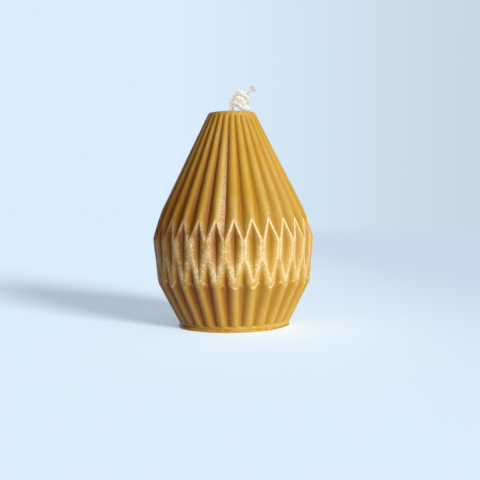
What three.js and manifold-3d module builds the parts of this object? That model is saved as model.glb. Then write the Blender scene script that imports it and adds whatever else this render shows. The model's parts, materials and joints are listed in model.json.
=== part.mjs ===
import * as THREE from 'three';
import { mergeVertices } from 'three/addons/utils/BufferGeometryUtils.js';
import Module from 'manifold-3d';

// A free-standing pleated beeswax candle with a wound cotton wick.
// Millimetres, +Z up. The origin is the middle of the underside, and rib 0 faces -Y.

// Pleats
const RIB_COUNT = 28;
const CREST_SOFTNESS = 0.12; // share of a pleat over which an upper ridge is rounded
const GROOVE_REACH = 0.25; // share of a pleat from a waist groove's edge to the rib's middle

// Heights, each one stacked on the one before it, from the table up
const FILM_THICKNESS = 0.7;
const SEAT_GAP = 0.3;
const FOOT_BAND = 0.9; // plain round band under the ends of the ribs
const SKIRT_HEIGHT = 15.6; // ends of the ribs to the notch ring
const COLLAR_HEIGHT = 2.2; // notch ring to the lower tips of the diamonds
const LOWER_FLANK = 8.45; // lower tips to the foot of the flat strips between diamonds
const STRIP_HEIGHT = 6.55;
const UPPER_FLANK = 8.1; // head of the strips to the forks, the upper tips of the diamonds
const SHOULDER_HEIGHT = 3.8; // forks to the shoulder, above which the cone is straight
const CONE_HEIGHT = 37.9; // shoulder to the flat top
const RIM_BAND = 1.3; // plain round band under the top, above the upper grooves

// Radii of the body
const TOP_RADIUS = 9.3;
const SHOULDER_INSET = 3.8; // how far the ridges lie inside the belt at the shoulder
const BELT_RADIUS = 32; // at the head of the flat strips, the widest place
const FORK_INSET = 2.3; // how far the forks lie inside the belt
const WAIST_INSET = 1.6; // how far the notch ring lies inside the belt
const FOOT_RADIUS = 22.2;
const RIM_ROUNDING = 0.3;
const NOTCH_DEPTH = 1.7; // depth of the grooves at the notch ring
const FOOT_GROOVE_DEPTH = 0.45; // depth of the grooves at the ends of the ribs
const LOWER_HOLLOW = 1.33; // depth of a diamond's crease below its crests, from tip to strip foot
const UPPER_HOLLOW = 2.37; // the same from the head of the strips up
const FLANK_RISE = 1.3; // how far the cone's ridges would stand out of the belt at the strips' head

// Base film, the thin pour that closes the mould
const FILM_RADIUS = 22.3;
const FILM_SWELL = 0.9; // it runs out further on one side
const FILM_SWELL_TURN = THREE.MathUtils.degToRad(-30); // that side, from the front toward +X
const FILM_RIPPLE = 0.12; // height of each of the waves in its outline
const FILM_WAVES = [5, 8]; // waves once round the outline
const FILM_EDGE = 0.2; // rounding of its edge

// Wick
const WICK_DIAMETER = 1.5;
const BORE_CLEARANCE = 0.3;
const WICK_RECESS = 0.2; // how far the cut end lies above the table
const STRAND_GAP = 0.3; // between two nodes of the same strand
const TURN_GAP = 0.53; // between neighbouring turns, measured along the curl's axis
const ARCH_GAP = 0.79; // the same for the first turn and a quarter, which lie looser
const CURL_TURNS = 2.25;
const CURL_RADIUS_FIRST = 2.39;
const CURL_RADIUS_LAST = 1.85;
const CURL_LEAN = THREE.MathUtils.degToRad(58.5); // curl's axis above the horizontal
const CURL_SKEW = THREE.MathUtils.degToRad(10.2); // curl's axis turned to the back
const CURL_CENTRE = new THREE.Vector3(3.56, -2.71, 4.08); // from the middle of the flat top
const PLY_COUNT = 5;
const PLY_DIAMETER = 0.62;
const PLY_SPREAD = 0.36; // how far each ply's tip bends out of the strand
const PLY_SEAM = 0.5; // length of the bound part before the plies part
const PLY_UNEVEN = 0.09; // share of the tail by which a ply ends before its neighbour
const PLY_LENGTHS = 3; // different lengths of the plies
const PLY_BEND = 0.6; // share of a ply that runs straight

// The wick's free route where it isn't wound, from the middle of the flat top
const STEM_POINTS = [
  [0, 0, 0],
  [0, 0, 0.9],
  [0, 0, 1.8],
  [0, 0, 2.3],
  [0.1, 0.22, 3.5],
  [0.3, 0.4, 4.7],
  [0.75, 0.18, 5.98],
  [1.65, -0.48, 7.13],
];
const RETURN_POINTS = [
  [3.96, -4.73, 1.48],
  [5.49, -4.26, 1.1],
  [6.4, -2.72, 1.12],
  [6.24, -0.79, 1.4],
  [5.6, 0.9, 2.4],
  [4.6, 1.9, 3.9],
  [4.1, 2, 5.8],
  [4.4, 1.86, 7.2],
];
const TAIL_ROOT = new THREE.Vector3(5.4, 1.68, 8.07);
const TAIL_TIP = new THREE.Vector3(9.4, 1.5, 10.15);
const TAIL_SHARES = [0, 0.12, 0.35, 0.65, 1]; // places of the tail's points from root to tip

// Facets
const CONE_STEPS = 4;
const BELT_STEPS = 2;
const WAIST_STEPS = 2;
const SKIRT_STEPS = 3;
const RIB_SIDES = 6; // facets across a round rib of the skirt
const ENVELOPE_SIDES = RIB_COUNT * 4;
const RIM_STEPS = 4;
const BORE_SIDES = 24;
const FILM_SIDES = 96;
const STRAND_SIDES = 6;
const STEPS_PER_TURN = 24;
const POINTS_PER_TURN = 12;
const PLY_SIDES = 6;
const PLY_STEPS = 4;
const CORE_SIDES = 12;
const ROUTE_DIVISIONS = 2000;
const GAP_SAMPLES = 800;

const MARGIN = 2; // how far a cutting solid reaches past what it cuts
const MERGE_REACH = 1e-5; // points nearer than this are one point

// Levels and radii that follow from the sizes
const bodyFoot = FILM_THICKNESS + SEAT_GAP;
const ribFoot = bodyFoot + FOOT_BAND;
const notchLevel = ribFoot + SKIRT_HEIGHT;
const tipLevel = notchLevel + COLLAR_HEIGHT;
const stripFoot = tipLevel + LOWER_FLANK;
const stripHead = stripFoot + STRIP_HEIGHT;
const forkLevel = stripHead + UPPER_FLANK;
const shoulderLevel = forkLevel + SHOULDER_HEIGHT;
const topLevel = shoulderLevel + CONE_HEIGHT;
const grooveHead = topLevel - RIM_BAND;
const shoulderRadius = BELT_RADIUS - SHOULDER_INSET;
const forkRadius = BELT_RADIUS - FORK_INSET;
const waistRadius = BELT_RADIUS - WAIST_INSET;
const boreRadius = WICK_DIAMETER / 2 + BORE_CLEARANCE;

/** Radius at a height on the straight line through two points of the body's outline. */
function lineThrough(radiusA, heightA, radiusB, heightB) {
  const slope = (radiusB - radiusA) / (heightB - heightA);
  return (height) => radiusA + slope * (height - heightA);
}

const envelopeAt = lineThrough(waistRadius, notchLevel, BELT_RADIUS, stripHead);
const coneRidgeAt = lineThrough(shoulderRadius, shoulderLevel, TOP_RADIUS, topLevel);
const shoulderRidgeAt = lineThrough(forkRadius, forkLevel, shoulderRadius, shoulderLevel);
const flankRidgeAt = lineThrough(BELT_RADIUS + FLANK_RISE, stripHead, forkRadius, forkLevel);
const upperValleyAt = lineThrough(BELT_RADIUS, stripHead, coneRidgeAt(grooveHead), grooveHead);
const creaseAt = lineThrough(envelopeAt(tipLevel), tipLevel, forkRadius, forkLevel);
const waistValleyAt = lineThrough(waistRadius - NOTCH_DEPTH, notchLevel, envelopeAt(stripFoot), stripFoot);
const skirtRidgeAt = lineThrough(FOOT_RADIUS + FOOT_GROOVE_DEPTH / 2, ribFoot, waistRadius, notchLevel);
const skirtValleyAt = lineThrough(
  FOOT_RADIUS - FOOT_GROOVE_DEPTH / 2, ribFoot, waistRadius - NOTCH_DEPTH, notchLevel,
);

/** Radius of the upper ridges, and of the lines that carry them on below the forks. */
function upperRidgeAt(height) {
  if (height > shoulderLevel) return coneRidgeAt(height);
  return height > forkLevel ? shoulderRidgeAt(height) : flankRidgeAt(height);
}

/** Radius of the crests between the diamonds, before the envelope trims them. */
function crestAt(height) {
  const share = THREE.MathUtils.clamp((height - stripFoot) / STRIP_HEIGHT, 0, 1);
  return creaseAt(height) + THREE.MathUtils.lerp(LOWER_HOLLOW, UPPER_HOLLOW, share);
}

/** Values from low to high in equal steps, both ends included. */
function levels(low, high, steps) {
  return Array.from({ length: steps + 1 }, (_, i) => low + ((high - low) * i) / steps);
}

/** Heights from the lowest up, where each span to its own height has its own number of steps. */
function stations(lowest, ...spans) {
  const heights = [lowest];
  for (const [high, steps] of spans) heights.push(...levels(heights.at(-1), high, steps).slice(1));
  return heights;
}

/** Closed solid round the Z axis: a ring of points at each height, and a fan at either end. */
function ringSolid(heights, angles, radiusAt) {
  const sides = angles.length;
  const positions = [];
  for (const height of heights) {
    for (let side = 0; side < sides; side++) {
      const radius = radiusAt(height, side);
      positions.push(radius * Math.sin(angles[side]), -radius * Math.cos(angles[side]), height);
    }
  }
  const lastRing = (heights.length - 1) * sides;
  const footCentre = heights.length * sides;
  const headCentre = footCentre + 1;
  positions.push(0, 0, heights[0], 0, 0, heights.at(-1));
  const indices = [];
  for (let side = 0; side < sides; side++) {
    const next = (side + 1) % sides;
    for (let ring = 0; ring < lastRing; ring += sides) {
      indices.push(ring + side, ring + next, ring + sides + next);
      indices.push(ring + side, ring + sides + next, ring + sides + side);
    }
    indices.push(footCentre, next, side);
    indices.push(headCentre, lastRing + side, lastRing + next);
  }
  const geometry = new THREE.BufferGeometry();
  geometry.setAttribute('position', new THREE.Float32BufferAttribute(positions, 3));
  geometry.setIndex(indices);
  return geometry;
}

/**
 * Closed solid with equal pleats. The places are points across one pleat, from -0.5 to 0.5 with 0
 * on the rib's middle, and the profile gives each one's share of the way from valley to ridge.
 */
function pleatedSolid(heights, places, profile, valleyAt, ridgeAt) {
  const angles = [];
  for (let rib = 0; rib < RIB_COUNT; rib++) {
    for (const place of places) angles.push(((rib + place) / RIB_COUNT) * 2 * Math.PI);
  }
  return ringSolid(heights, angles, (height, side) => {
    const share = profile(places[side % places.length]);
    return valleyAt(height) + (ridgeAt(height) - valleyAt(height)) * share;
  });
}

/** Flat flanks that meet in a ridge, rounded over CREST_SOFTNESS of the pleat. */
function softRidge(place) {
  const away = Math.abs(place) * 2;
  const softness = CREST_SOFTNESS * 2;
  const drop = away < softness ? (softness + (away * away) / softness) / 2 : away;
  return (1 - drop) / (1 - softness / 2);
}

/** Round rib between sharp valleys. */
function roundRib(place) {
  return 1 - (2 * place) ** 2;
}

/** Sharp crease in the rib's middle between sharp crests. */
function creasedRib(place) {
  return 1 - 2 * Math.abs(place);
}

/** Sharp valley whose flanks reach the full radius at GROOVE_REACH from the rib's middle. */
function edgedGroove(place) {
  const away = 0.5 - Math.abs(place);
  return away / (0.5 - GROOVE_REACH);
}

/** Turned body inside which the pleats lie: belt and skirt outside, flat top with a rounded rim. */
function envelopeSolid() {
  // the rim's arc touches the flat top and the line of the upper ridges
  const ridgeSlope = (shoulderRadius - TOP_RADIUS) / CONE_HEIGHT;
  const turn = Math.atan2(1, ridgeSlope);
  const arcRadius = TOP_RADIUS - RIM_ROUNDING * Math.tan(turn / 2);
  const profile = [
    new THREE.Vector2(0, bodyFoot),
    new THREE.Vector2(envelopeAt(bodyFoot), bodyFoot),
    new THREE.Vector2(envelopeAt(forkLevel), forkLevel),
  ];
  for (let step = RIM_STEPS; step >= 0; step--) {
    const angle = (turn * step) / RIM_STEPS;
    profile.push(new THREE.Vector2(
      arcRadius + RIM_ROUNDING * Math.sin(angle),
      topLevel - RIM_ROUNDING * (1 - Math.cos(angle)),
    ));
  }
  profile.push(new THREE.Vector2(0, topLevel));
  const geometry = new THREE.LatheGeometry(profile, ENVELOPE_SIDES);
  geometry.rotateX(Math.PI / 2);
  return geometry;
}

/** Upright cylinder between two heights. */
function uprightCylinder(radius, low, high, sides) {
  const geometry = new THREE.CylinderGeometry(radius, radius, high - low, sides);
  geometry.rotateX(Math.PI / 2);
  geometry.translate(0, 0, (low + high) / 2);
  return geometry;
}

const wasm = await Module();
wasm.setup();

/** The solid that a closed geometry bounds. */
function toSolid(geometry) {
  geometry.deleteAttribute('normal');
  geometry.deleteAttribute('uv');
  const merged = mergeVertices(geometry, MERGE_REACH);
  const corners = merged.getIndex().array;
  const triangles = [];
  for (let i = 0; i < corners.length; i += 3) {
    const [a, b, c] = corners.slice(i, i + 3);
    // a turned shape has triangles without area where its outline meets the axis
    if (a !== b && b !== c && c !== a) triangles.push(a, b, c);
  }
  return new wasm.Manifold(new wasm.Mesh({
    numProp: 3,
    vertProperties: new Float32Array(merged.getAttribute('position').array),
    triVerts: new Uint32Array(triangles),
  }));
}

/** The geometry of a solid. */
function toGeometry(solid) {
  const mesh = solid.getMesh();
  const geometry = new THREE.BufferGeometry();
  geometry.setAttribute('position', new THREE.BufferAttribute(mesh.vertProperties, 3));
  geometry.setIndex(new THREE.BufferAttribute(mesh.triVerts, 1));
  geometry.computeVertexNormals();
  return geometry;
}

/** The wax: what the cone, the belt, the waist, the skirt and the envelope have in common. */
function waxBody() {
  const low = bodyFoot - MARGIN;
  const high = topLevel + MARGIN;
  const cone = pleatedSolid(
    stations(low, [stripHead, 1], [forkLevel, 1], [shoulderLevel, 1], [grooveHead, CONE_STEPS], [high, 1]),
    [-CREST_SOFTNESS, 0, CREST_SOFTNESS, 0.5],
    softRidge,
    (height) => (height > grooveHead ? upperRidgeAt(height) : upperValleyAt(height)),
    upperRidgeAt,
  );
  const belt = pleatedSolid(
    stations(low, [stripFoot, BELT_STEPS], [stripHead, 1], [forkLevel, BELT_STEPS], [high, 1]),
    [0, 0.5],
    creasedRib,
    crestAt,
    creaseAt,
  );
  const waist = pleatedSolid(
    stations(low, [notchLevel, 1], [stripFoot, WAIST_STEPS], [high, 1]),
    [-GROOVE_REACH, 0, GROOVE_REACH, 0.5],
    edgedGroove,
    waistValleyAt,
    (height) => Math.max(envelopeAt(height), waistValleyAt(height)),
  );
  const skirt = pleatedSolid(
    stations(low, [bodyFoot, 1], [ribFoot, 1], [notchLevel, SKIRT_STEPS], [high, 1]),
    levels(-0.5, 0.5, RIB_SIDES).slice(1),
    roundRib,
    (height) => (height > bodyFoot ? skirtValleyAt(height) : FOOT_RADIUS),
    (height) => (height > bodyFoot ? skirtRidgeAt(height) : FOOT_RADIUS),
  );
  const bore = uprightCylinder(boreRadius, low, high, BORE_SIDES);
  return [cone, belt, waist, skirt]
    .reduce((body, pleats) => body.intersect(toSolid(pleats)), toSolid(envelopeSolid()))
    .subtract(toSolid(bore));
}

/** The thin pour under the body, with an uneven rounded edge and a hole for the wick. */
function baseFilm() {
  const angles = levels(0, 2 * Math.PI, FILM_SIDES).slice(1);
  const heights = [0, FILM_EDGE, FILM_THICKNESS - FILM_EDGE, FILM_THICKNESS];
  const film = ringSolid(heights, angles, (height, side) => {
    const swell = FILM_SWELL * Math.cos(angles[side] - FILM_SWELL_TURN);
    const wave = FILM_WAVES.reduce((sum, waves) => sum + Math.cos(waves * (angles[side] + 1)), 0);
    const rounding = height === 0 || height === FILM_THICKNESS ? FILM_EDGE : 0;
    return FILM_RADIUS + swell + FILM_RIPPLE * wave - rounding;
  });
  const hole = uprightCylinder(boreRadius, -MARGIN, FILM_THICKNESS + MARGIN, BORE_SIDES);
  return toSolid(film).subtract(toSolid(hole));
}

/** Points of the wound turns: a helix that narrows, about an axis that leans up and to the back. */
function turnPoints() {
  const axis = new THREE.Vector3(
    Math.cos(CURL_LEAN) * Math.cos(CURL_SKEW),
    Math.sin(CURL_SKEW),
    Math.sin(CURL_LEAN) * Math.cos(CURL_SKEW),
  );
  const up = new THREE.Vector3(-Math.sin(CURL_LEAN), 0, Math.cos(CURL_LEAN));
  const front = new THREE.Vector3().crossVectors(axis, up);
  const middleTurn = CURL_TURNS - 1; // the front pass that CURL_CENTRE lies behind
  const count = Math.round(CURL_TURNS * POINTS_PER_TURN);
  return levels(0, CURL_TURNS, count).map((turn) => {
    const angle = turn * 2 * Math.PI;
    const radius = THREE.MathUtils.lerp(CURL_RADIUS_FIRST, CURL_RADIUS_LAST, turn / CURL_TURNS);
    const gap = turn > middleTurn ? TURN_GAP : ARCH_GAP;
    return CURL_CENTRE.clone()
      .addScaledVector(axis, (middleTurn - turn) * (WICK_DIAMETER + gap))
      .addScaledVector(up, radius * Math.cos(angle))
      .addScaledVector(front, radius * Math.sin(angle));
  });
}

/** The strand's centre line from the flat top to its tip. */
function wickRoute() {
  const points = [
    ...STEM_POINTS.map((point) => new THREE.Vector3(...point)),
    ...turnPoints(),
    ...RETURN_POINTS.map((point) => new THREE.Vector3(...point)),
    ...TAIL_SHARES.map((share) => TAIL_ROOT.clone().lerp(TAIL_TIP, share)),
  ];
  const exit = new THREE.Vector3(0, 0, topLevel);
  const route = new THREE.CatmullRomCurve3(points.map((point) => point.add(exit)), false, 'centripetal');
  route.arcLengthDivisions = ROUTE_DIVISIONS;
  return route;
}

/** The part of a route between two distances along it. */
class RouteSpan extends THREE.Curve {
  constructor(route, from, to) {
    super();
    this.route = route;
    this.from = from / route.getLength();
    this.to = to / route.getLength();
  }

  getPoint(t, target) {
    return this.route.getPointAt(THREE.MathUtils.lerp(this.from, this.to, t), target);
  }
}

/** Closed tube along a curve, with a regular section and flat ends. */
function strandTube(curve, diameter, sides, steps) {
  const section = new THREE.Shape(
    levels(0, 2 * Math.PI, sides).slice(1)
      .map((angle) => new THREE.Vector2(Math.cos(angle), Math.sin(angle)).multiplyScalar(diameter / 2)),
  );
  return new THREE.ExtrudeGeometry(section, { extrudePath: curve, steps, bevelEnabled: false });
}

/** Least free space between stretches of a route that lie more than three diameters apart on it. */
function leastGap(route, diameter) {
  const points = route.getSpacedPoints(GAP_SAMPLES);
  const spacing = route.getLength() / GAP_SAMPLES;
  const skip = Math.ceil((3 * diameter) / spacing);
  let least = Infinity;
  for (let i = 0; i < points.length; i++) {
    for (let j = i + skip; j < points.length; j++) {
      least = Math.min(least, points[i].distanceTo(points[j]) - diameter);
    }
  }
  return least;
}

const route = wickRoute();
const tailLength = TAIL_ROOT.distanceTo(TAIL_TIP);
const curlEnd = route.getLength() - tailLength * (1 - TAIL_SHARES[1]) + WICK_DIAMETER;
const tailStart = curlEnd + STRAND_GAP;

/** The wound stretch, from just above the top to where the straight tail begins. */
function wickCurl() {
  const stepLength = (Math.PI * (CURL_RADIUS_FIRST + CURL_RADIUS_LAST)) / STEPS_PER_TURN;
  const steps = Math.round((curlEnd - STRAND_GAP) / stepLength);
  return strandTube(new RouteSpan(route, STRAND_GAP, curlEnd), WICK_DIAMETER, STRAND_SIDES, steps);
}

/** The straight end, bound at its root, with plies that part and end unevenly. */
function wickTail() {
  const seamEnd = tailStart + PLY_SEAM;
  const bound = strandTube(new RouteSpan(route, tailStart, seamEnd), WICK_DIAMETER, STRAND_SIDES, 1);
  const along = TAIL_TIP.clone().sub(TAIL_ROOT).normalize();
  const across = new THREE.Vector3(0, 1, 0).cross(along).normalize();
  const upward = along.clone().cross(across);
  const root = route.getPointAt(tailStart / route.getLength());
  const length = route.getLength() - tailStart;
  const seat = (WICK_DIAMETER - PLY_DIAMETER) / 2;
  let tail = toSolid(bound);
  for (let ply = 0; ply < PLY_COUNT; ply++) {
    const angle = (ply / PLY_COUNT) * 2 * Math.PI;
    const outward = across.clone()
      .multiplyScalar(Math.cos(angle))
      .addScaledVector(upward, Math.sin(angle));
    const reach = length * (1 - PLY_UNEVEN * (ply % PLY_LENGTHS));
    const place = (distance, offset) => root.clone()
      .addScaledVector(along, distance)
      .addScaledVector(outward, offset);
    const path = new THREE.QuadraticBezierCurve3(
      place(PLY_SEAM / 2, seat), place(reach * PLY_BEND, seat), place(reach, seat + PLY_SPREAD),
    );
    tail = tail.add(toSolid(strandTube(path, PLY_DIAMETER, PLY_SIDES, PLY_STEPS)));
  }
  return tail;
}

const wax = { color: '#d09a36', roughness: 0.45, metalness: 0 };
const paleWax = { color: '#dcb765', roughness: 0.5, metalness: 0 };
const cotton = { color: '#efe7d2', roughness: 0.95, metalness: 0 };

/** A named mesh of one closed piece. */
function piece(name, geometry, finish) {
  const mesh = new THREE.Mesh(geometry, new THREE.MeshStandardMaterial(finish));
  mesh.name = name;
  return mesh;
}

const candle = new THREE.Group();
candle.add(
  piece('wax_body', toGeometry(waxBody()), wax),
  piece('base_film', toGeometry(baseFilm()), paleWax),
  piece('wick_core', uprightCylinder(WICK_DIAMETER / 2, WICK_RECESS, topLevel, CORE_SIDES), cotton),
  piece('wick_curl', wickCurl(), cotton),
  piece('wick_tail', toGeometry(wickTail()), cotton),
);

console.log(
  `free wick ${route.getLength().toFixed(1)} mm, least gap between its turns `
  + `${leastGap(route, WICK_DIAMETER).toFixed(2)} mm`,
);

export default candle;
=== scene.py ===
"""A free-standing beeswax candle: pleated body, belt of tall diamonds and a curled cotton wick.

Metres, +Z up, the table at z = 0. The camera looks about along +Y, and rib 0 of the body faces it.
"""

import json
import logging
import math
from dataclasses import dataclass, fields
from enum import Enum
from functools import reduce
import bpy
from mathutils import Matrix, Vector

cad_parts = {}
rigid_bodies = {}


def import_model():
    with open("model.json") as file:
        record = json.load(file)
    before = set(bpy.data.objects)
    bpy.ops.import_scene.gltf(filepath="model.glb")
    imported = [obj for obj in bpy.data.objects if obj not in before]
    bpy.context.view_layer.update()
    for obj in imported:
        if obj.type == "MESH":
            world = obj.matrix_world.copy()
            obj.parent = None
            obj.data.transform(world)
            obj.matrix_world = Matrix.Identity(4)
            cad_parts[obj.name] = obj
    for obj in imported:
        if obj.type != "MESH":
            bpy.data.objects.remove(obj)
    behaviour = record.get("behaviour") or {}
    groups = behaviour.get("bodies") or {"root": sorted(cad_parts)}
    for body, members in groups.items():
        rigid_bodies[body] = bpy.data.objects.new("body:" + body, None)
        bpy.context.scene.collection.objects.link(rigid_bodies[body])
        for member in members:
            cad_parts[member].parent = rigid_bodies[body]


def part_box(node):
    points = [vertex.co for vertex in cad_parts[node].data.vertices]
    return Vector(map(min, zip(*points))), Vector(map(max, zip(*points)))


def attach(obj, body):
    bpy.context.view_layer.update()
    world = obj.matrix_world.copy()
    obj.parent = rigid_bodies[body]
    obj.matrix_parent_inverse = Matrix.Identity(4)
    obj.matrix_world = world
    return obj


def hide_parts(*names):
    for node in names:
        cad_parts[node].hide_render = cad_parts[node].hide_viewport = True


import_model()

from types import SimpleNamespace
from typing import Any, ClassVar, Optional, Sequence, Union

import bpy
from mathutils import Matrix, Vector

LOG = logging.getLogger("candle")
BODY = "root"
PICTURE_WIDTH = 480
FULL_TURN = 2 * math.pi
BORE_RADIUS = 0.00078
RGB = tuple[float, float, float]
Span = tuple[float, float]
Place = tuple[float, float, float]


class Slot(Enum):
    """Material slots of the record."""

    WAX = "beeswax"
    FILM = "beeswax_film"
    COTTON = "wick_cotton"


class Ray(Enum):
    """Kinds of ray, by the Light Path output that tells them."""

    CAMERA = "Is Camera Ray"
    GLOSSY = "Is Glossy Ray"
    TRANSMISSION = "Is Transmission Ray"


class Hand(Enum):
    """Which way a ply winds round the strand."""

    RIGHT = 1
    LEFT = -1


class Lit(Enum):
    """What a lamp lights."""

    WAX = "wax"
    WICK = "wick"
    FLOOR = "floor"


class Link:
    """An output socket of a tree under construction."""

    def __init__(self, tree: "Tree", socket: bpy.types.NodeSocket) -> None:
        """Wrap an output of a tree, which gets the nodes of an expression on it."""
        self.tree = tree
        self.socket = socket


class Value(Link):
    """A number that varies. An expression on it adds Math nodes."""

    def __add__(self, other: "Number") -> "Value":
        """Sum."""
        return self.tree.math("ADD", self, other)

    __radd__ = __add__

    def __sub__(self, other: "Number") -> "Value":
        """Difference."""
        return self.tree.math("SUBTRACT", self, other)

    def __rsub__(self, other: "Number") -> "Value":
        """Difference from a plain number."""
        return self.tree.math("SUBTRACT", other, self)

    def __mul__(self, other: "Number") -> "Value":
        """Product."""
        return self.tree.math("MULTIPLY", self, other)

    __rmul__ = __mul__

    def __truediv__(self, other: "Number") -> "Value":
        """Quotient."""
        return self.tree.math("DIVIDE", self, other)

    def __rtruediv__(self, other: "Number") -> "Value":
        """Quotient of a plain number by this."""
        return self.tree.math("DIVIDE", other, self)

    def __abs__(self) -> "Value":
        """Size without its sign."""
        return self.tree.math("ABSOLUTE", self)

    def ramp(self, low: "Number", high: "Number", smooth: bool = False) -> "Value":
        """Share of the way from low to high, from 0 to 1.

        Args:
            low: where the share is 0.
            high: where the share is 1.
            smooth: eases both ends.

        Returns:
            The share, held at 0 and 1 outside the two.
        """
        kind = {"interpolation_type": "SMOOTHSTEP" if smooth else "LINEAR"}
        node = self.tree.node("ShaderNodeMapRange", kind, {0: self, 1: low, 2: high})
        return Value(self.tree, node.outputs[0])


class Colour(Link):
    """A colour that varies."""

    def toward(self, other: "Paint", share: "Number") -> "Colour":
        """This colour with a share of another one mixed in."""
        return self.tree.mix(share, self, other)


Number = Union[Value, float, int]
Paint = Union[Colour, RGB]
Corner = tuple[Number, Number]
Across = tuple[bpy.types.NodeSocket, bpy.types.NodeSocket]


class Tree:
    """A node tree under construction, of shader or geometry nodes."""

    def __init__(self, tree: bpy.types.NodeTree) -> None:
        """Take an existing tree and empty it."""
        self.tree = tree
        tree.nodes.clear()

    def node(
        self,
        kind: str,
        settings: Optional[dict[str, Any]] = None,
        inputs: Optional[dict[Union[int, str], Any]] = None,
    ) -> bpy.types.Node:
        """Add a node.

        Args:
            kind: the node's type.
            settings: its properties, which are set first.
            inputs: the value or link of each socket, by its name or place.

        Returns:
            The new node.
        """
        node = self.tree.nodes.new(kind)
        for name, value in (settings or {}).items():
            setattr(node, name, value)
        for key, value in (inputs or {}).items():
            self.feed(node.inputs[key], value)
        return node

    def feed(self, socket: bpy.types.NodeSocket, value: Any) -> None:
        """Give an input its value or link.

        Args:
            socket: the input.
            value: a Link, an output socket, a colour or a plain value.
        """
        if isinstance(value, Link):
            value = value.socket
        if isinstance(value, bpy.types.NodeSocket):
            self.tree.links.new(value, socket)
        elif socket.type == "RGBA":
            socket.default_value = (*value, 1.0)
        else:
            socket.default_value = value

    def math(self, operation: str, *operands: Number) -> Value:
        """The result of one Math node on its numbers, in order."""
        node = self.node("ShaderNodeMath", {"operation": operation}, dict(enumerate(operands)))
        return Value(self, node.outputs[0])

    def least(self, *numbers: Number) -> Value:
        """The smallest of some numbers."""
        return reduce(lambda one, other: self.math("MINIMUM", one, other), numbers)

    def most(self, *numbers: Number) -> Value:
        """The largest of some numbers."""
        return reduce(lambda one, other: self.math("MAXIMUM", one, other), numbers)

    def mix(self, share: Number, first: Paint, second: Paint) -> Colour:
        """The first colour with a share of the second mixed in."""
        node = self.node("ShaderNodeMix", {"data_type": "RGBA"}, {0: share, 6: first, 7: second})
        return Colour(self, node.outputs[2])

    def scaled(self, vector: bpy.types.NodeSocket, size: Number) -> bpy.types.NodeSocket:
        """A vector times a number."""
        inputs = {0: vector, "Scale": size}
        return self.node("ShaderNodeVectorMath", {"operation": "SCALE"}, inputs).outputs[0]

    def split(self, vector: bpy.types.NodeSocket) -> tuple[Value, Value, Value]:
        """The three numbers of a vector."""
        outputs = self.node("ShaderNodeSeparateXYZ", inputs={0: vector}).outputs
        return Value(self, outputs[0]), Value(self, outputs[1]), Value(self, outputs[2])

    def vector(self, *numbers: Number) -> Link:
        """A vector of three numbers."""
        node = self.node("ShaderNodeCombineXYZ", inputs=dict(enumerate(numbers)))
        return Link(self, node.outputs[0])

    def given(self, kind: str) -> Value:
        """The number that an input node gives."""
        return Value(self, self.node(kind).outputs[0])

    def dots(self, place: Any, scale: float, inner: float, outer: float) -> Value:
        """1 on round dots, one to a cell, that fade from an inner to an outer radius in cells."""
        cells = self.node("ShaderNodeTexVoronoi", inputs={"Vector": place, "Scale": scale})
        return 1 - Value(self, cells.outputs["Distance"]).ramp(inner, outer)

    def noise(self, place: Any, scale: float, detail: float = 2.0) -> Value:
        """Smooth noise about 0.5, with so many patches to a metre and finer layers."""
        inputs = {"Vector": place, "Scale": scale, "Detail": detail}
        return Value(self, self.node("ShaderNodeTexNoise", inputs=inputs).outputs[0])


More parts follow.
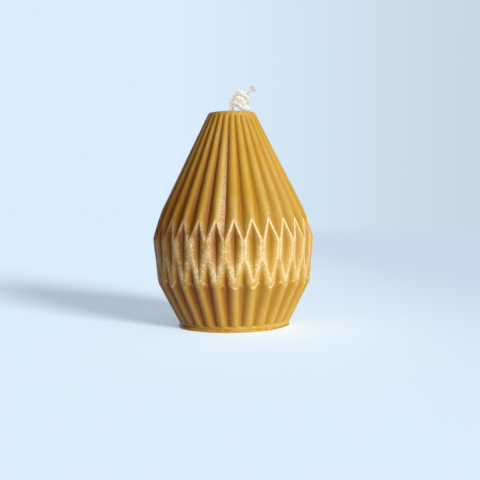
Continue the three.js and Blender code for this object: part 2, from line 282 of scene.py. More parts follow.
class GeometryTree(Tree):
    """A geometry node tree with named inputs for its sizes."""

    def __init__(self, name: str, sizes: dict[str, float]) -> None:
        """Start a tree.

        Args:
            name: the tree's name.
            sizes: the name and value of each size that it takes.
        """
        super().__init__(bpy.data.node_groups.new(name, "GeometryNodeTree"))
        self.sizes = sizes
        face = self.tree.interface
        face.new_socket("Geometry", in_out="INPUT", socket_type="NodeSocketGeometry")
        face.new_socket("Geometry", in_out="OUTPUT", socket_type="NodeSocketGeometry")
        for size, value in sizes.items():
            kind = "NodeSocketInt" if isinstance(value, int) else "NodeSocketFloat"
            face.new_socket(size, in_out="INPUT", socket_type=kind)
        self.entry = self.node("NodeGroupInput")

    def size(self, name: str) -> Value:
        """One of the named inputs."""
        return Value(self, self.entry.outputs[name])

    def stage(self, kind: str, settings: dict[str, Any], inputs: dict[Any, Any]) -> Link:
        """The geometry that a node gives, by its type, its properties and its sockets."""
        return Link(self, self.node(kind, settings, inputs).outputs[0])

    def keep(self, geometry: Link, name: str, value: Number) -> Link:
        """The geometry with a number stored on its points under a name."""
        kind = {"data_type": "FLOAT", "domain": "POINT"}
        return self.stage("GeometryNodeStoreNamedAttribute", kind, {0: geometry, 2: name, 3: value})

    def chance(
        self, seed: int, limits: Span = (0.0, 1.0), number: Optional[Value] = None
    ) -> Value:
        """A random number for each element.

        Args:
            seed: which row of random numbers.
            limits: the least and the largest.
            number: what the element is told by, where its own index won't do.

        Returns:
            The random number.
        """
        inputs = {2: limits[0], 3: limits[1], "Seed": seed}
        if number is not None:
            inputs["ID"] = number
        node = self.node("FunctionNodeRandomValue", {"data_type": "FLOAT"}, inputs)
        return Value(self, node.outputs[1])

    def copies(self, line: Link, amount: Number) -> tuple[Link, Value]:
        """Copies of a line, all in the same place.

        Args:
            line: the line.
            amount: how many copies.

        Returns:
            The copies, and the number of each.
        """
        domain = {"domain": "SPLINE"}
        node = self.node("GeometryNodeDuplicateElements", domain, {0: line, "Amount": amount})
        return Link(self, node.outputs[0]), Value(self, node.outputs["Duplicate Index"])

    def moved(self, geometry: Link, offset: bpy.types.NodeSocket) -> Link:
        """A geometry with each point moved by its own offset."""
        return self.stage("GeometryNodeSetPosition", {}, {0: geometry, "Offset": offset})

    def wound(self, line: Link, across: Across, angle: Value, reach: Value) -> Link:
        """A line that is moved out from where it lies, to its own side at each point.

        Args:
            line: the line, or copies of it.
            across: the two directions square to it.
            angle: which way each point goes, from the first direction.
            reach: how far it goes.

        Returns:
            The moved line.
        """
        first = self.scaled(across[0], self.math("COSINE", angle) * reach)
        second = self.scaled(across[1], self.math("SINE", angle) * reach)
        both = self.node("ShaderNodeVectorMath", {"operation": "ADD"}, {0: first, 1: second})
        return self.moved(line, both.outputs[0])

    def trimmed(self, line: Link, end: Number, start: Number = 0.0) -> Link:
        """What lies of a line between two lengths along it."""
        limits = {0: line, "Start_001": start, "End_001": end}
        return self.stage("GeometryNodeTrimCurve", {"mode": "LENGTH"}, limits)

    def tube(self, line: Link, sides: int, radius: Number) -> Link:
        """A tube round a line, closed at both ends.

        Args:
            line: its centre line.
            sides: how many faces go round it.
            radius: its size.

        Returns:
            The tube's faces.
        """
        section = {"Resolution": sides, "Radius": radius}
        ring = self.stage("GeometryNodeCurvePrimitiveCircle", {}, section)
        return self.stage("GeometryNodeCurveToMesh", {}, {0: line, 1: ring, "Fill Caps": True})

    def joined(self, parts: Sequence[Link]) -> Link:
        """Several geometries as one.

        Args:
            parts: the geometries, in order.

        Returns:
            All of them together.
        """
        node = self.node("GeometryNodeJoinGeometry")
        for part in parts:
            self.feed(node.inputs[0], part)
        return Link(self, node.outputs[0])

    def close(self, geometry: Link, material: bpy.types.Material) -> None:
        """End the tree: real faces, smooth, in one material.

        Args:
            geometry: what the tree has made.
            material: the finish of all its faces.
        """
        real = self.stage("GeometryNodeRealizeInstances", {}, {0: geometry})
        smooth = self.stage("GeometryNodeSetShadeSmooth", {}, {0: real})
        dressed = self.stage("GeometryNodeSetMaterial", {}, {0: smooth, 2: material})
        self.node("NodeGroupOutput", inputs={0: dressed})

    def grow(self, name: str, carrier: bpy.types.Mesh) -> bpy.types.Object:
        """Run the tree on a mesh.

        Args:
            name: the piece's name.
            carrier: the mesh that the tree starts from.

        Returns:
            An object with the plain mesh that results, and no modifier.
        """
        piece = bpy.data.objects.new(name, carrier)
        bpy.context.scene.collection.objects.link(piece)
        modifier = piece.modifiers.new("shape", "NODES")
        modifier.node_group = self.tree
        for item in self.tree.interface.items_tree:
            if item.in_out == "INPUT" and item.name in self.sizes:
                modifier[item.identifier] = self.sizes[item.name]
        view = bpy.context.evaluated_depsgraph_get()
        grown = bpy.data.meshes.new_from_object(piece.evaluated_get(view), depsgraph=view)
        piece.modifiers.remove(modifier)
        piece.data = grown
        grown.name = name
        return piece


class ShaderTree(Tree):
    """A surface shader under construction."""

    def __init__(self, name: str) -> None:
        """Start a material.

        Args:
            name: the material's name.
        """
        self.material = bpy.data.materials.new(name)
        self.material.use_nodes = True
        super().__init__(self.material.node_tree)
        self.place = self.node("ShaderNodeTexCoord").outputs["Object"]

    def attribute(self, name: str) -> Value:
        """A number that the mesh stores under a name."""
        node = self.node("ShaderNodeAttribute", {"attribute_name": name})
        return Value(self, node.outputs["Fac"])

    def bump(self, height: Value, distance: float, strength: float) -> bpy.types.NodeSocket:
        """Normal of a relief from 0 to 1, which is so many metres high and shows so strongly."""
        inputs = {"Height": height, "Distance": distance, "Strength": strength}
        return self.node("ShaderNodeBump", inputs=inputs).outputs[0]

    def finish(self, constants: dict[str, Any], varying: dict[str, Any]) -> bpy.types.Material:
        """End the material in a Principled shader.

        Args:
            constants: what is the same all over.
            varying: what changes over the surface.

        Returns:
            The finished material.
        """
        shader = self.node("ShaderNodeBsdfPrincipled", inputs={**constants, **varying})
        self.node("ShaderNodeOutputMaterial", inputs={"Surface": shader.outputs[0]})
        return self.material


@dataclass(frozen=True)
class WaxFinish:
    """Golden beeswax, satin, bloomed pale and grainy where the mould's edges are; painted shade darkens
    its left side and its grooves, and painted highlights lighten its edges, its crests and one flank.
    """

    face: RGB = (0.61, 0.37, 0.034)
    # painted shade: the colour of the wax on the candle's shaded left
    shaded: RGB = (0.53, 0.27, 0.025)
    # pale colour of the crests: frost on the wax and painted sheen
    frost: RGB = (0.68, 0.475, 0.145)
    # painted shade in the grooves: darker and redder wax
    deep: RGB = (0.30, 0.085, 0.001)
    # pale colour of bloom, also used for the painted highlights and sheen
    bloom: RGB = (0.93, 0.82, 0.54)
    dark: RGB = (0.20, 0.06, 0.004)
    roughness: float = 0.33
    bloom_roughness: float = 0.5
    crest_depth: float = 0.0008
    cavity_depth: float = 0.0014
    cavity_narrows: Span = (0.045, 0.084)
    lit_side: Span = (-0.022, 0.006)
    shallow_side: Span = (-0.008, 0.014)
    line_width: float = 0.00058
    # where the painted edge highlights grow stronger, toward the right
    lined_side: Span = (-0.013, 0.003)
    margin_width: float = 0.0022
    belt_levels: Span = (0.0185, 0.0425)
    upper_levels: Span = (0.0335, 0.0375)
    pearly_left: Span = (-0.031, -0.020)
    pearly_right: Span = (-0.008, 0.012)
    mark_width: Span = (0.00012, 0.00045)
    # painted sheen on one flank: where it turns, where it starts and where it fades
    dusty_flank: Span = (math.radians(-12.9), math.radians(-6.6))
    flank_foot: Span = (0.0375, 0.041)
    flank_fade: Span = (0.050, 0.080)
    bubbled_ridge: Span = (math.radians(24), math.radians(30))
    trail_levels: Span = (0.041, 0.057)
    pearls_per_metre: float = 1150
    strays_per_metre: float = 500
    patches_per_metre: float = 240
    grain_per_metre: float = 1500
    smears_per_metre: float = 420
    clouds_per_metre: float = 90
    dust_per_metre: float = 2600
    pearly_paleness: float = 0.36
    mark_paleness: float = 0.85
    flank_paleness: float = 0.44
    trail_paleness: float = 0.6
    relief_height: float = 0.00016
    relief_strength: float = 0.7
    refraction: float = 1.42
    scatter: float = 0.4
    scatter_radius: RGB = (1.0, 0.28, 0.05)
    scatter_scale: float = 0.0013

    @staticmethod
    def _between(value: Value, limits: Span, fade: float) -> Value:
        """1 between two limits, fading out past them."""
        low, high = limits
        return value.ramp(low - fade, low + fade) * (1 - value.ramp(high - fade, high + fade))

    def _belt_bloom(self, tree: ShaderTree, patches: Value, grain: Value) -> tuple[Value, Value]:
        """Pale lines on the lattice's edges, partly bloomed wax and partly painted highlight, and the
        pearly margins beside them.

        Args:
            tree: the material's tree.
            patches: coarse noise.
            grain: fine noise.

        Returns:
            How pale the wax is, and the pearls in it, which stand out.
        """
        x, _, level = tree.split(tree.place)
        gap = tree.attribute("edge_gap")
        upper = level.ramp(*self.upper_levels)
        width = self.line_width * (0.5 + patches)
        # painted highlight and bloom: pale lines along the lattice's edges, stronger toward the right and
        # on the upper edges
        line = (1 - gap.ramp(width * 0.3, width, smooth=True)) * grain.ramp(0.22, 0.5)
        line = line * (0.16 + x.ramp(*self.lined_side) * 0.68) * (0.55 + upper * 0.45)
        margin = 1 - gap.ramp(0.0005, self.margin_width, smooth=True)
        margin = margin * self._between(level, self.belt_levels, 0.002) * patches.ramp(0.30, 0.50)
        dusty = x.ramp(*self.pearly_left) * (1 - x.ramp(*self.pearly_right) * 0.6) * (1 - upper * 0.6)
        pearly = margin * dusty
        speckle = tree.dots(tree.place, self.pearls_per_metre, 0.20, 0.46) * pearly
        return line + speckle + pearly * self.pearly_paleness, speckle

    def _bloom(self, tree: ShaderTree) -> tuple[Value, Value]:
        """Where the wax is pale: the belt, the rib heads, a painted sheen on one flank and stray bubbles.

        Args:
            tree: the material's tree.

        Returns:
            How pale the wax is, and how far its small bubbles stand out.
        """
        x, y, level = tree.split(tree.place)
        turn = tree.math("ARCTAN2", x, y * -1)
        patches = tree.noise(tree.place, self.patches_per_metre, 3)
        grain = tree.noise(tree.place, self.grain_per_metre, 2)
        pale, speckle = self._belt_bloom(tree, patches, grain)
        head = tree.attribute("head_gap") + (patches - 0.5) * 0.0005
        smears = tree.noise(tree.place, self.smears_per_metre, 1)
        mark = (1 - head.ramp(*self.mark_width)) * smears.ramp(0.42, 0.56)
        mark = mark * (1 - tree.attribute("depth").ramp(0.0003, 0.0010) * 0.75)
        # painted sheen: a pale patch on one flank just left of the front, from the belt's top up the
        # cone, fading out higher up
        left, right = self.dusty_flank
        flank = turn.ramp(left - 0.02, left + 0.05) * (1 - turn.ramp(right - 0.01, right + 0.01))
        flank = flank * level.ramp(*self.flank_foot) * (1 - level.ramp(*self.flank_fade))
        flank = flank * grain.ramp(0.25, 0.6)
        trail = self._between(turn, self.bubbled_ridge, 0.01)
        trail = trail * self._between(level, self.trail_levels, 0.002)
        trail = trail * tree.dots(tree.place, self.pearls_per_metre, 0.18, 0.36)
        stray = tree.dots(tree.place, self.strays_per_metre, 0.06, 0.14)
        stray = stray * patches.ramp(0.55, 0.7) * 0.5
        pale = pale + mark * self.mark_paleness + flank * self.flank_paleness
        pale = pale + trail * self.trail_paleness + stray
        return tree.least(pale, 1.0), speckle + mark * 0.6 + trail + stray

    def material(self) -> bpy.types.Material:
        """The wax of the body, which reads the body's edge_gap, head_gap and depth attributes.

        Returns:
            The material.
        """
        tree = ShaderTree("beeswax_gold")
        bloom, bubbles = self._bloom(tree)
        x, _, level = tree.split(tree.place)
        clouds = tree.noise(tree.place, self.clouds_per_metre, 3)
        dust = tree.noise(tree.place, self.dust_per_metre, 2)
        depth = tree.attribute("depth")
        # painted shade in the grooves: darker and redder the deeper they are, at full strength at a
        # smaller depth near the top, and weaker toward the right
        reach = (1 - level.ramp(*self.cavity_narrows) * 0.6) * self.cavity_depth
        groove_shade_share = (depth / reach).ramp(0.06, 1.0, smooth=True)
        groove_shade_share = groove_shade_share * (0.95 - x.ramp(*self.shallow_side, smooth=True) * 0.6)
        lit = x.ramp(*self.lit_side, smooth=True)
        # pale frost on the crests: partly bloom on the wax, partly painted sheen, a little stronger on
        # the lit right side
        crest_frost_and_sheen = (1 - depth.ramp(0.0, self.crest_depth, smooth=True)) * clouds.ramp(0.35, 0.62)
        # painted shade: the wax is painted darker and redder on the candle's left than on its right
        colour = tree.mix(lit, self.shaded, self.face)
        colour = colour.toward(self.frost, crest_frost_and_sheen * (0.5 + lit * 0.15))
        colour = colour.toward(self.deep, groove_shade_share)
        colour = colour.toward(self.dark, dust.ramp(0.60, 0.80) * 0.18)
        # bloom and painted highlights
        colour = colour.toward(self.bloom, bloom)
        rough = self.roughness + (self.bloom_roughness - self.roughness) * bloom + dust * 0.08
        relief = dust * 0.2 + bubbles * 0.8
        return tree.finish(
            {
                "Subsurface Weight": self.scatter,
                "Subsurface Radius": self.scatter_radius,
                "Subsurface Scale": self.scatter_scale,
                "IOR": self.refraction,
            },
            {
                "Base Color": colour,
                "Roughness": rough,
                "Normal": tree.bump(relief, self.relief_height, self.relief_strength),
            },
        )


@dataclass(frozen=True)
class FilmFinish:
    """The wax of a thin pour: amber, with painted highlights as pale lines at its lowest edge and along
    its seam.
    """

    face: RGB = (0.56, 0.32, 0.03)
    # colour of the painted highlights on the lowest edge and the seam
    rim: RGB = (0.90, 0.76, 0.42)
    rim_height: float = 0.00030
    seam_level: float = 0.00086
    seam_width: Span = (0.00004, 0.00012)

    def material(self) -> bpy.types.Material:
        """The wax of the base film.

        Returns:
            The material.
        """
        tree = ShaderTree("beeswax_thin_pour")
        _, _, level = tree.split(tree.place)
        grain = tree.noise(tree.place, 700, 3)
        # painted highlights: the lowest edge and the seam are painted pale
        thin = 1 - level.ramp(self.rim_height * 0.5, self.rim_height, smooth=True)
        seam = 1 - abs(level - self.seam_level).ramp(*self.seam_width)
        pale = tree.most(thin * 0.85, seam * grain.ramp(0.42, 0.6))
        return tree.finish(
            {"Subsurface Weight": 0.35, "Subsurface Radius": (1.0, 0.3, 0.06), "Subsurface Scale": 0.001},
            {
                "Base Color": tree.mix(pale, self.face, self.rim),
                "Roughness": 0.28 + 0.2 * grain,
                "Normal": tree.bump(grain, 0.0001, 0.4),
            },
        )


@dataclass(frozen=True)
class CottonFinish:
    """Undyed braided cotton."""

    light: RGB = (0.97, 0.96, 0.91)
    shade: RGB = (0.82, 0.80, 0.70)

    def material(self) -> bpy.types.Material:
        """The wick's cotton.

        Returns:
            The material.
        """
        tree = ShaderTree("undyed_cotton")
        fibres = tree.noise(tree.place, 7000, 3)
        soil = tree.noise(tree.place, 700, 2)
        colour = tree.mix(fibres.ramp(0.35, 0.6), self.shade, self.light)
        colour = colour.toward(self.shade, soil.ramp(0.55, 0.75) * 0.5)
        return tree.finish(
            {
                "Sheen Weight": 0.3,
                "Subsurface Weight": 0.9,
                "Subsurface Radius": (1.0, 0.97, 0.88),
                "Subsurface Scale": 0.0012,
            },
            {
                "Base Color": colour,
                "Roughness": 0.85 + 0.1 * fibres,
                "Normal": tree.bump(fibres, 0.00004, 0.7),
            },
        )


@dataclass(frozen=True)
class Viewpoint:
    """The camera, from the fit of the photograph's perspective."""

    stand: Place = (-0.00236, -0.31972, 0.04863)
    yaw: float = math.radians(0.899)
    pitch: float = math.radians(2.638)
    roll: float = math.radians(-0.767)
    focal_pixels: float = 797.05
    sensor_width: float = 36.0

    def build(self) -> bpy.types.Object:
        """Make the camera the scene's own.

        Returns:
            The camera.
        """
        level_forward = Vector((math.sin(self.yaw), math.cos(self.yaw), 0))
        level_right = Vector((math.cos(self.yaw), -math.sin(self.yaw), 0))
        forward = level_forward * math.cos(self.pitch) - Vector((0, 0, math.sin(self.pitch)))
        plumb = level_right.cross(forward)
        right = level_right * math.cos(self.roll) + plumb * math.sin(self.roll)
        upward = right.cross(forward)
        lens = bpy.data.cameras.new("camera")
        lens.sensor_width = self.sensor_width
        lens.lens = self.focal_pixels / PICTURE_WIDTH * self.sensor_width
        lens.clip_start = 0.01
        camera = bpy.data.objects.new("camera", lens)
        turn = Matrix((right, upward, -forward)).transposed()
        camera.matrix_world = Matrix.LocRotScale(Vector(self.stand), turn.to_quaternion(), None)
        bpy.context.scene.collection.objects.link(camera)
        bpy.context.scene.camera = camera
        return camera


def smooth_route(points: Sequence[Vector], spacing: float) -> list[Vector]:
    """Points along the centripetal curve through the given points.

    Args:
        points: what the curve goes through.
        spacing: least distance between two points of the result, about.

    Returns:
        Points from the first to the last one given.
    """
    padded = [2 * points[0] - points[1], *points, 2 * points[-1] - points[-2]]
    route = [points[0].copy()]
    for a, b, c, d in zip(padded, padded[1:], padded[2:], padded[3:]):
        knots = [0.0]
        for start, end in ((a, b), (b, c), (c, d)):
            knots.append(knots[-1] + math.sqrt((end - start).length))
        t0, t1, t2, t3 = knots
        steps = max(1, round((c - b).length / spacing))
        for step in range(1, steps + 1):
            t = t1 + (t2 - t1) * step / steps
            ab = a.lerp(b, (t - t0) / (t1 - t0))
            bc = b.lerp(c, (t - t1) / (t2 - t1))
            cd = c.lerp(d, (t - t2) / (t3 - t2))
            abc = ab.lerp(bc, (t - t0) / (t2 - t0))
            bcd = bc.lerp(cd, (t - t1) / (t3 - t1))
            route.append(abc.lerp(bcd, (t - t1) / (t2 - t1)))
    return route


def route_length(route: Sequence[Vector]) -> float:
    """Length of a line of points."""
    return sum((b - a).length for a, b in zip(route, route[1:]))


def thread_mesh(name: str, route: Sequence[Vector]) -> bpy.types.Mesh:
    """A line of edges through points.

    Args:
        name: the mesh's name.
        route: the points.

    Returns:
        A mesh without faces.
    """
    mesh = bpy.data.meshes.new(name)
    edges = [(number, number + 1) for number in range(len(route) - 1)]
    mesh.from_pydata([tuple(point) for point in route], edges, [])
    return mesh


@dataclass
class Wick:
    """One braided cotton strand: cast into the wax, then wound into a small curl with a frayed end."""

    top_level: float
    foot_level: float
    diameter: float = 0.0015
    turn_gap: float = 0.00053
    arch_gap: float = 0.00079
    turns: float = 2.25
    points_per_turn: int = 12
    radius_first: float = 0.00239
    radius_last: float = 0.00185
    lean: float = math.radians(58.5)
    skew: float = math.radians(10.2)
    centre: Place = (0.00356, -0.00271, 0.00408)
    stem: tuple[Place, ...] = (
        (0.0, 0.0, 0.0),
        (0.0, 0.0, 0.0009),
        (0.0, 0.0, 0.0018),
        (0.0, 0.0, 0.0023),
        (0.0001, 0.00022, 0.0035),
        (0.0003, 0.0004, 0.0047),
        (0.00075, 0.00018, 0.00598),
        (0.00165, -0.00048, 0.00713),
    )
    way_back: tuple[Place, ...] = (
        (0.00396, -0.00473, 0.00148),
        (0.00549, -0.00426, 0.0011),
        (0.0064, -0.00272, 0.00112),
        (0.00624, -0.00079, 0.0014),
        (0.0056, 0.0009, 0.0024),
        (0.0046, 0.0019, 0.0039),
        (0.0041, 0.002, 0.0058),
        (0.0044, 0.00186, 0.0072),
    )
    tail_root: Place = (0.0054, 0.00168, 0.00807)
    tail_tip: Place = (0.0094, 0.0015, 0.01015)
    tail_shares: tuple[float, ...] = (0, 0.12, 0.35, 0.65, 1)
    fullness: float = 1.26
    plies: int = 4
    ply_diameter: float = 0.00060
    weave_depth: float = 0.00007
    pitch: float = 0.0052
    fray: float = 0.0036
    fray_spread: float = 0.0012
    fibres: int = 90
    fibre_diameter: float = 0.00007
    hairs_per_area: float = 6.0e5
    hair_bend: tuple[Place, ...] = ((0, 0, -0.0001), (0.0001, 0, 0.0003), (0.0005, 0, 0.0004))
    hair_radius: float = 0.000012
    hair_scale: Span = (0.4, 1.3)
    kernel_share: float = 0.95
    ply_spread: Span = (0.1, 0.6)
    ply_cut: Span = (0.35, 0.5)
    fan_spread: Span = (0.25, 1.4)
    fan_start: float = 1.1
    fan_cut: float = 0.35
    step: float = 0.00016
    seed: int = 7
    fan_seeds: tuple[int, ...] = (21, 22, 23, 24)
    hair_seeds: tuple[int, int] = (11, 12)

    def turn_points(self) -> list[Vector]:
        """The wound turns: a helix that narrows, about an axis that leans up and to the back.

        Returns:
            Points from the first turn to the last, from the middle of the flat top.
        """
        flat, steep = math.cos(self.lean), math.sin(self.lean)
        sideways, ahead = math.sin(self.skew), math.cos(self.skew)
        axis = Vector((flat * ahead, sideways, steep * ahead))
        up = Vector((-steep, 0, flat))
        front = axis.cross(up)
        middle_turn = self.turns - 1
        count = round(self.turns * self.points_per_turn)
        points = []
        for step in range(count + 1):
            turn = self.turns * step / count
            angle = turn * FULL_TURN
            radius = self.radius_first + (self.radius_last - self.radius_first) * step / count
            gap = self.turn_gap if turn > middle_turn else self.arch_gap
            along = axis * (middle_turn - turn) * (self.diameter + gap)
            outward = up * math.cos(angle) + front * math.sin(angle)
            points.append(Vector(self.centre) + along + outward * radius)
        return points

    def free_route(self) -> list[Vector]:
        """The strand's centre line from the flat top to its tip.

        Returns:
            Closely spaced points.
        """
        root, tip = Vector(self.tail_root), Vector(self.tail_tip)
        points = [
            *(Vector(point) for point in self.stem),
            *self.turn_points(),
            *(Vector(point) for point in self.way_back),
            *(root.lerp(tip, share) for share in self.tail_shares),
        ]
        exit_point = Vector((0, 0, self.top_level))
        return smooth_route([point + exit_point for point in points], self.diameter / 10)

    def braid(self, name: str, frayed: bool, material: bpy.types.Material) -> GeometryTree:
        """The rule that braids plies round a line.

        Args:
            name: the tree's name.
            frayed: parts the plies near the end and adds loose hairs.
            material: the cotton.

        Returns:
            The tree, which takes a line of edges.
        """
        sizes = {
            "Plies": self.plies,
            "Ply Radius": self.ply_diameter / 2,
            "Pitch": self.pitch,
            "Weave Depth": self.weave_depth,
            "Strand Radius": self.diameter / 2 * (self.fullness if frayed else 1),
            "Fray": self.fray if frayed else 0.0,
            "Fray Spread": self.fray_spread,
            "Fibres": self.fibres,
            "Fibre Radius": self.fibre_diameter / 2,
            "Step": self.step,
            "Seed": self.seed,
        }
        tree = GeometryTree(name, sizes)
        line = tree.stage("GeometryNodeMeshToCurve", {}, {0: tree.entry.outputs[0]})
        spacing = {0: line, "Length": tree.size("Step")}
        line = tree.stage("GeometryNodeResampleCurve", {"mode": "LENGTH"}, spacing)
        along = Value(tree, tree.node("GeometryNodeSplineParameter").outputs["Length"])
        whole = tree.given("GeometryNodeSplineLength")
        bound = whole - tree.size("Fray")
        loose = tree.most((along - bound) / tree.most(tree.size("Fray"), 1e-6), 0.0)
        normal = tree.node("GeometryNodeInputNormal").outputs[0]
        tangent = tree.node("GeometryNodeInputTangent").outputs[0]
        cross = {"operation": "CROSS_PRODUCT"}
        side = tree.node("ShaderNodeVectorMath", cross, {0: tangent, 1: normal}).outputs[0]
        ring = tree.size("Strand Radius") - tree.size("Ply Radius") - tree.size("Weave Depth")
        swing = tree.least(along, bound) / tree.size("Pitch") * FULL_TURN
        weave = tree.math("COSINE", swing * tree.size("Plies")) * tree.size("Weave Depth")
        spread, lucky_spread = self.ply_spread
        cut, lucky_cut = self.ply_cut
        parts = []
        for hand in Hand:
            plies, number = tree.copies(line, tree.size("Plies"))
            luck = tree.chance(hand.value + self.seed, number=number)
            angle = swing * hand.value + number / tree.size("Plies") * FULL_TURN
            parted = loose * loose * tree.size("Fray Spread") * (spread + luck * lucky_spread)
            wound = tree.wound(plies, (normal, side), angle, ring + weave * hand.value + parted)
            if frayed:
                wound = tree.trimmed(wound, whole - tree.size("Fray") * (cut + luck * lucky_cut))
            parts.append(tree.tube(wound, 6, tree.size("Ply Radius")))
        parts.append(tree.tube(tree.trimmed(line, bound), 8, ring * self.kernel_share))
        strand = tree.joined(parts)
        if frayed:
            fan = self._fan(tree, line, (whole, loose), (normal, side))
            strand = tree.joined([strand, self._hairs(tree, strand), fan])
        tree.close(strand, material)
        return tree

    def _fan(
        self, tree: GeometryTree, line: Link, lengths: tuple[Value, Value], across: Across
    ) -> Link:
        """Single fibres that fan out past the ends of the plies.

        Args:
            tree: the braid's tree.
            line: the strand's centre line.
            lengths: its whole length, and the share of the frayed end.
            across: the two directions square to the line.

        Returns:
            The fibres.
        """
        whole, loose = lengths
        fibres, number = tree.copies(line, tree.size("Fibres"))
        far, turn, middle, short = (tree.chance(seed, number=number) for seed in self.fan_seeds)
        curl = tree.noise(tree.vector(number * 3.7, loose * 2.2, 0.0), 1.0, 1.0) - 0.5
        angle = turn * FULL_TURN + curl * loose * 5
        spread, lucky_spread = self.fan_spread
        stray = far * far * far * lucky_spread
        reach = tree.size("Strand Radius") * 0.8 * tree.math("SQRT", middle)
        reach = reach + loose * loose * tree.size("Fray Spread") * (spread + stray)
        start = whole - tree.size("Fray") * self.fan_start
        end = whole - tree.size("Fray") * short * self.fan_cut
        kept = tree.trimmed(tree.wound(fibres, across, angle, reach), end, start)
        return tree.tube(kept, 4, tree.size("Fibre Radius"))

    def _hairs(self, tree: GeometryTree, strand: Link) -> Link:
        """Loose cotton hairs that stand out of the strand.

        Args:
            tree: the braid's tree.
            strand: the surface that they grow from.

        Returns:
            The hairs, as instances.
        """
        ground = {0: strand, "Density": self.hairs_per_area, "Seed": tree.size("Seed")}
        roots = tree.node("GeometryNodeDistributePointsOnFaces", {}, ground)
        bend = {"Resolution": 4, **dict(zip(("Start", "Middle", "End"), self.hair_bend))}
        arc = tree.stage("GeometryNodeCurveQuadraticBezier", {}, bend)
        turn_seed, size_seed = self.hair_seeds
        spin = tree.vector(0.0, 0.0, tree.chance(turn_seed, (0.0, FULL_TURN)))
        spin = tree.node("FunctionNodeEulerToRotation", inputs={0: spin}).outputs[0]
        local = {"rotation_space": "LOCAL"}
        turned = tree.node("FunctionNodeRotateRotation", local, {0: roots.outputs["Rotation"], 1: spin})
        hairs = {
            0: roots.outputs[0],
            "Instance": tree.tube(arc, 3, self.hair_radius),
            "Rotation": turned.outputs[0],
            "Scale": tree.chance(size_seed, self.hair_scale),
        }
        return tree.stage("GeometryNodeInstanceOnPoints", {}, hairs)

    def build(self, material: bpy.types.Material) -> tuple[bpy.types.Object, bpy.types.Object]:
        """Args:
            material: the cotton.

        Returns:
            The free and the cast length.
        """
        route = self.free_route()
        rule = self.braid("braid_free", True, material)
        free = rule.grow("free_wick", thread_mesh("free_line", route))
        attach(free, BODY)
        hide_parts("wick_curl", "wick_tail")
        route_length(route)
        plumb = [Vector((0, 0, level)) for level in (self.foot_level, self.top_level)]
        rule = self.braid("braid_cast", False, material)
        cast = rule.grow("cast_wick", thread_mesh("cast_line", plumb))
        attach(cast, BODY)
        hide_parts("wick_core")
        LOG.info("free_wick: %.1f mm, %d faces", route_length(route) * 1000, len(free.data.polygons))
        LOG.info("cast_wick: %d faces", len(cast.data.polygons))
        return free, cast


